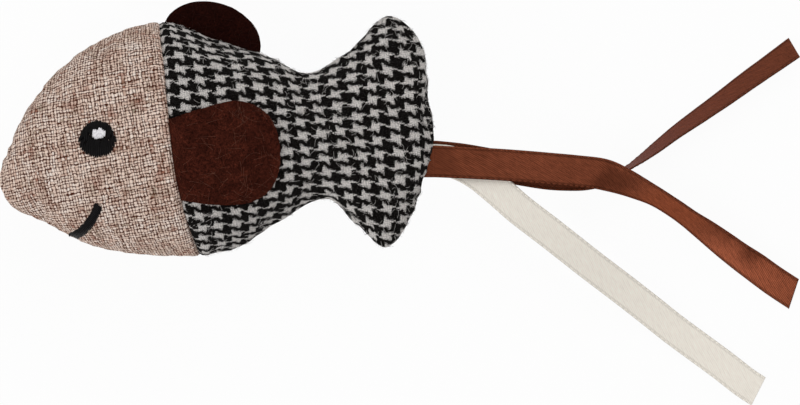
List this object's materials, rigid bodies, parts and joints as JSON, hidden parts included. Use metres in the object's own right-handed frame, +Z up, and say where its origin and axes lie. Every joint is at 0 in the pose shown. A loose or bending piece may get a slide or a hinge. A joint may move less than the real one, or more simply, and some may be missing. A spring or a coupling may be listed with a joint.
{
  "type": "fish-shaped cat toy",
  "caption": "Stuffed cloth fish that lies on its side, with a linen-look head, houndstooth body, felt fins, stitched face and satin ribbons that trail from the tail for a cat to chase.",
  "frame": {"origin": "on the table, under the middle of the fish's box without its ribbons", "axes": "+X from the nose to the tail, +Y from the belly to the back, +Z up from the table the toy lies on"},
  "size_m": [0.1612, 0.0811, 0.0299],
  "materials": {
    "linen_cloth": "plain weave",
    "houndstooth_wool": "woven houndstooth, brushed",
    "brown_felt": "pressed felt",
    "brown_satin": "satin weave",
    "cream_satin": "satin weave",
    "black_thread": "satin stitch",
    "white_thread": "satin stitch",
    "polyester_fibre": "loose fibre"
  },
  "bodies": {
    "fish": {"head_panel_near": "linen_cloth", "head_panel_far": "linen_cloth", "body_panel_near": "houndstooth_wool", "body_panel_far": "houndstooth_wool", "fibre_stuffing": "polyester_fibre", "eye_near": "black_thread", "eye_far": "black_thread", "eye_glint_near": "white_thread", "eye_glint_far": "white_thread", "mouth_near": "black_thread", "mouth_far": "black_thread", "side_fin_near_sewn_edge": "brown_felt", "side_fin_far_sewn_edge": "brown_felt", "dorsal_fin_sewn_edge": "brown_felt", "ribbon_front_sewn_end": "brown_satin", "ribbon_cream_sewn_end": "cream_satin", "ribbon_back_sewn_end": "brown_satin"},
    "near_side_fin": {"side_fin_near": "brown_felt"},
    "far_side_fin": {"side_fin_far": "brown_felt"},
    "back_fin": {"dorsal_fin": "brown_felt"},
    "back_ribbon": {"ribbon_back": "brown_satin"},
    "cream_ribbon": {"ribbon_cream": "cream_satin"},
    "front_ribbon": {"ribbon_front": "brown_satin"}
  },
  "joints": [
    {"name": "near_side_fin_lift", "type": "hinge", "parent": "fish", "child": "near_side_fin", "pos_m": [-0.0067, 0.00154, 0.0299], "axis": [0.0915, -0.9958, 0], "range_deg": [0, 100], "stiffness_Nm_per_rad": 0.0005},
    {"name": "far_side_fin_lift", "type": "hinge", "parent": "fish", "child": "far_side_fin", "pos_m": [-0.0067, 0.00154, 0], "axis": [-0.0915, 0.9958, 0], "range_deg": [0, 100], "stiffness_Nm_per_rad": 0.0005},
    {"name": "dorsal_fin_bend", "type": "hinge", "parent": "fish", "child": "back_fin", "pos_m": [-0.00089, 0.01884, 0.0136], "axis": [0.9559, -0.2938, 0], "range_deg": [-60, 60], "stiffness_Nm_per_rad": 0.0005},
    {"name": "back_ribbon_lift", "type": "hinge", "parent": "fish", "child": "back_ribbon", "pos_m": [0.04394, -0.00636, 0.0143], "axis": [0, -1, 0], "range_deg": [0, 35]},
    {"name": "cream_ribbon_lift", "type": "hinge", "parent": "back_ribbon", "child": "cream_ribbon", "pos_m": [0.04394, -0.00636, 0.0143], "axis": [0, -1, 0], "range_deg": [0, 35]},
    {"name": "front_ribbon_lift", "type": "hinge", "parent": "cream_ribbon", "child": "front_ribbon", "pos_m": [0.04394, -0.00636, 0.0143], "axis": [0, -1, 0], "range_deg": [0, 40]}
  ]
}
